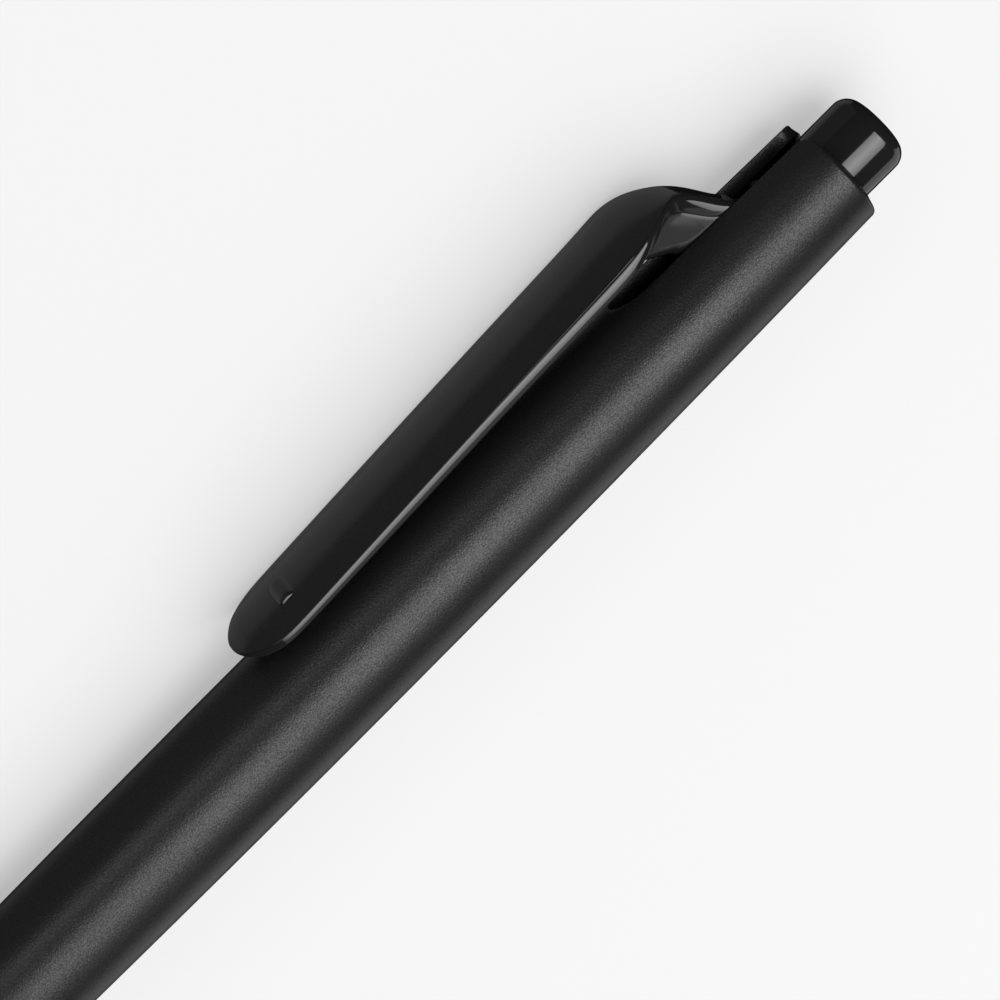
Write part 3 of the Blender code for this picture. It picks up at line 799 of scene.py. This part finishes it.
class PEN_OT_mechanism(bpy.types.Operator):
    """Give the click mechanism's sleeve, plunger and rotor their finish"""
    bl_idname = "pen.mechanism"
    bl_label = "Click mechanism"

    def execute(self, context):
        black = finish_for("black_acetal", moulded_acetal, "black_acetal")
        white = finish_for("white_acetal", moulded_acetal, "white_acetal")
        dress("cam_sleeve", black)
        dress("plunger", black)
        dress("rotor", white)
        return {"FINISHED"}


# ---------------------------------------------------------------- stage

VIEW_TILT = 60.0           # degrees from the clip's direction round to the camera
VIEW_X = -36.7             # mm, the point of the pen's axis in the middle of the view
VIEW_DISTANCE = 281.25     # mm
TABLE_HALF = 2.0           # m, from the table's middle to its edge


def view_direction(turn, lean=0.0):
    """A direction on the pen's axes: turned from the camera's towards the side away from the clip,
    in degrees, and leaning towards the button."""
    angle = math.radians(VIEW_TILT + turn)
    flat = Vector((0, math.cos(angle), math.sin(angle)))
    tip = math.radians(lean)
    return flat * math.cos(tip) + Vector((1, 0, 0)) * math.sin(tip)


def aimed_matrix(spot, target, upward):
    """A matrix at spot whose -Z looks at target."""
    back = (spot - target).normalized()
    right = upward.cross(back).normalized()
    turned = Matrix((right, back.cross(right), back)).transposed().to_4x4()
    return Matrix.Translation(spot) @ turned


def add_softbox(name, turn, lean, distance_mm, size_mm, radiance):
    """A rectangular light, its long side along the pen. Its radiance is what a mirror would show."""
    light = bpy.data.lights.new(name, "AREA")
    light.shape = "RECTANGLE"
    light.size, light.size_y = size_mm[0] * MM, size_mm[1] * MM
    light.energy = radiance * math.pi * light.size * light.size_y
    target = PEN @ Vector((VIEW_X, 0, 0))
    spot = PEN @ (Vector((VIEW_X, 0, 0)) + view_direction(turn, lean) * distance_mm)
    across = (spot - target).cross(PEN.to_3x3() @ Vector((1, 0, 0)))
    lamp = bpy.data.objects.new(name, light)
    lamp.matrix_world = aimed_matrix(spot, target, across)
    bpy.context.scene.collection.objects.link(lamp)
    return lamp


def shade_softbox(lamp, levels, front=1.0):
    """Give a softbox its levels at places from one long edge to the other, and let it fade towards
    its front end."""
    lamp.data.use_nodes = True
    tree = lamp.data.node_tree
    place = add_node(tree, "ShaderNodeNewGeometry")
    split = add_node(tree, "ShaderNodeSeparateXYZ", {"Vector": place.outputs["Parametric"]})
    across = add_node(tree, "ShaderNodeValToRGB", {"Fac": split.outputs["Y"]})
    stops = across.color_ramp.elements
    for place_across, _ in levels[1:-1]:
        stops.new(place_across)
    for stop, (_, level) in zip(stops, levels):
        stop.color = (level, level, level, 1.0)
    along = ramp(tree, split.outputs["X"], 0.0, 0.45, front, 1.0)
    strength = add_node(tree, "ShaderNodeMath", {0: across.outputs["Color"],
                                                 1: along.outputs["Result"]},
                        operation="MULTIPLY")
    tree.links.new(strength.outputs["Value"], tree.nodes["Emission"].inputs["Strength"])


def lay_table(settings):
    """The light table. It throws no shadow and isn't mirrored, so its glow stays even."""
    bm = bmesh.new()
    bmesh.ops.create_grid(bm, x_segments=8, y_segments=8, size=TABLE_HALF)
    mesh = bpy.data.meshes.new("table")
    bm.to_mesh(mesh)
    bm.free()
    mesh.materials.append(opal_acrylic(settings))
    table = bpy.data.objects.new("table", mesh)
    bpy.context.scene.collection.objects.link(table)
    table.visible_glossy = False
    table.visible_shadow = False


def hang_softboxes(settings):
    """An overhead key and the panels and cards round it, each as the pen's polish shows it."""
    key = add_softbox("key_softbox", 34.5, 0.0, 500.0, (710.0, 435.0), settings.key)
    shade_softbox(key, ((0.0, 0.5), (0.5, 1.0), (1.0, 0.55)), 0.35)
    low = add_softbox("low_panel", -131.0, 0.0, 500.0, (900.0, 344.0), 0.45)
    shade_softbox(low, ((0.0, 0.0), (0.15, 0.16), (0.5, 0.25), (1.0, 0.4)))
    add_softbox("front_strip", -20.0, -20.0, 500.0, (420.0, 140.0), 1.1)
    add_softbox("side_panel", 128.0, 0.0, 500.0, (900.0, 420.0), 0.52)
    add_softbox("fill_card", -100.0, 0.0, 520.0, (900.0, 850.0), 0.045)
    add_softbox("side_card", 69.0, -11.0, 520.0, (400.0, 200.0), 0.3)
    wash = add_softbox("wash", 72.0, 0.0, 500.0, (900.0, 260.0), 1.2)
    wash.visible_glossy = False


def light_room():
    """The room's own even light, which polished surfaces don't show."""
    world = bpy.data.worlds.new("studio")
    world.use_nodes = True
    world.node_tree.nodes["Background"].inputs["Color"].default_value = linear("#f2f2f2")
    world.node_tree.nodes["Background"].inputs["Strength"].default_value = 0.45
    world.cycles_visibility.glossy = False
    bpy.context.scene.world = world


def aim_camera(settings):
    """A camera above the clip's side, turned so that the pen lies along the picture's diagonal."""
    scene = bpy.context.scene
    target = Vector((VIEW_X, 0, 0))
    upward = PEN.to_3x3() @ (Vector((1, 0, 0)) + view_direction(-90.0))
    camera_data = bpy.data.cameras.new("camera")
    camera_data.lens = settings.lens
    camera_data.sensor_width = 36.0
    camera_data.clip_start = 0.01
    camera = bpy.data.objects.new("camera", camera_data)
    camera.matrix_world = aimed_matrix(PEN @ (target + view_direction(0.0) * VIEW_DISTANCE),
                                       PEN @ target, upward.normalized())
    scene.collection.objects.link(camera)
    scene.camera = camera
    scene.view_settings.view_transform = "Standard"
    scene.view_settings.look = "None"


class PEN_OT_stage(bpy.types.Operator):
    """Lay the table, hang the softboxes and set the camera"""
    bl_idname = "pen.stage"
    bl_label = "Stage"

    def execute(self, context):
        settings = context.scene.pen_stage
        lay_table(settings)
        hang_softboxes(settings)
        light_room()
        aim_camera(settings)
        return {"FINISHED"}


# ---------------------------------------------------------------- panel and registration

PIECES = (PEN_OT_barrel, PEN_OT_nose_cone, PEN_OT_clip, PEN_OT_button, PEN_OT_refill,
          PEN_OT_spring, PEN_OT_mechanism, PEN_OT_stage)
SETTINGS = {"pen_barrel": BarrelSettings, "pen_clip": ClipSettings, "pen_refill": RefillSettings,
            "pen_stage": StageSettings}


class PEN_PT_panel(bpy.types.Panel):
    """Lists the settings and the pieces of the pen"""
    bl_idname = "PEN_PT_panel"
    bl_label = "Ballpoint pen"
    bl_space_type = "VIEW_3D"
    bl_region_type = "UI"
    bl_category = "Pen"

    def draw(self, context):
        for name, group in SETTINGS.items():
            box = self.layout.box()
            for field in group.__annotations__:
                box.prop(getattr(context.scene, name), field)
        for piece in PIECES:
            self.layout.operator(piece.bl_idname)


def register():
    for name, group in SETTINGS.items():
        bpy.utils.register_class(group)
        setattr(bpy.types.Scene, name, PointerProperty(type=group))
    for made in (*PIECES, PEN_PT_panel):
        bpy.utils.register_class(made)


def unregister():
    for made in (PEN_PT_panel, *reversed(PIECES)):
        bpy.utils.unregister_class(made)
    for name, group in SETTINGS.items():
        delattr(bpy.types.Scene, name)
        bpy.utils.unregister_class(group)


def main():
    register()
    bpy.ops.pen.barrel()
    bpy.ops.pen.nose_cone()
    bpy.ops.pen.clip()
    bpy.ops.pen.button()
    bpy.ops.pen.refill()
    bpy.ops.pen.spring()
    bpy.ops.pen.mechanism()
    bpy.ops.pen.stage()


if __name__ == "__main__":
    main()
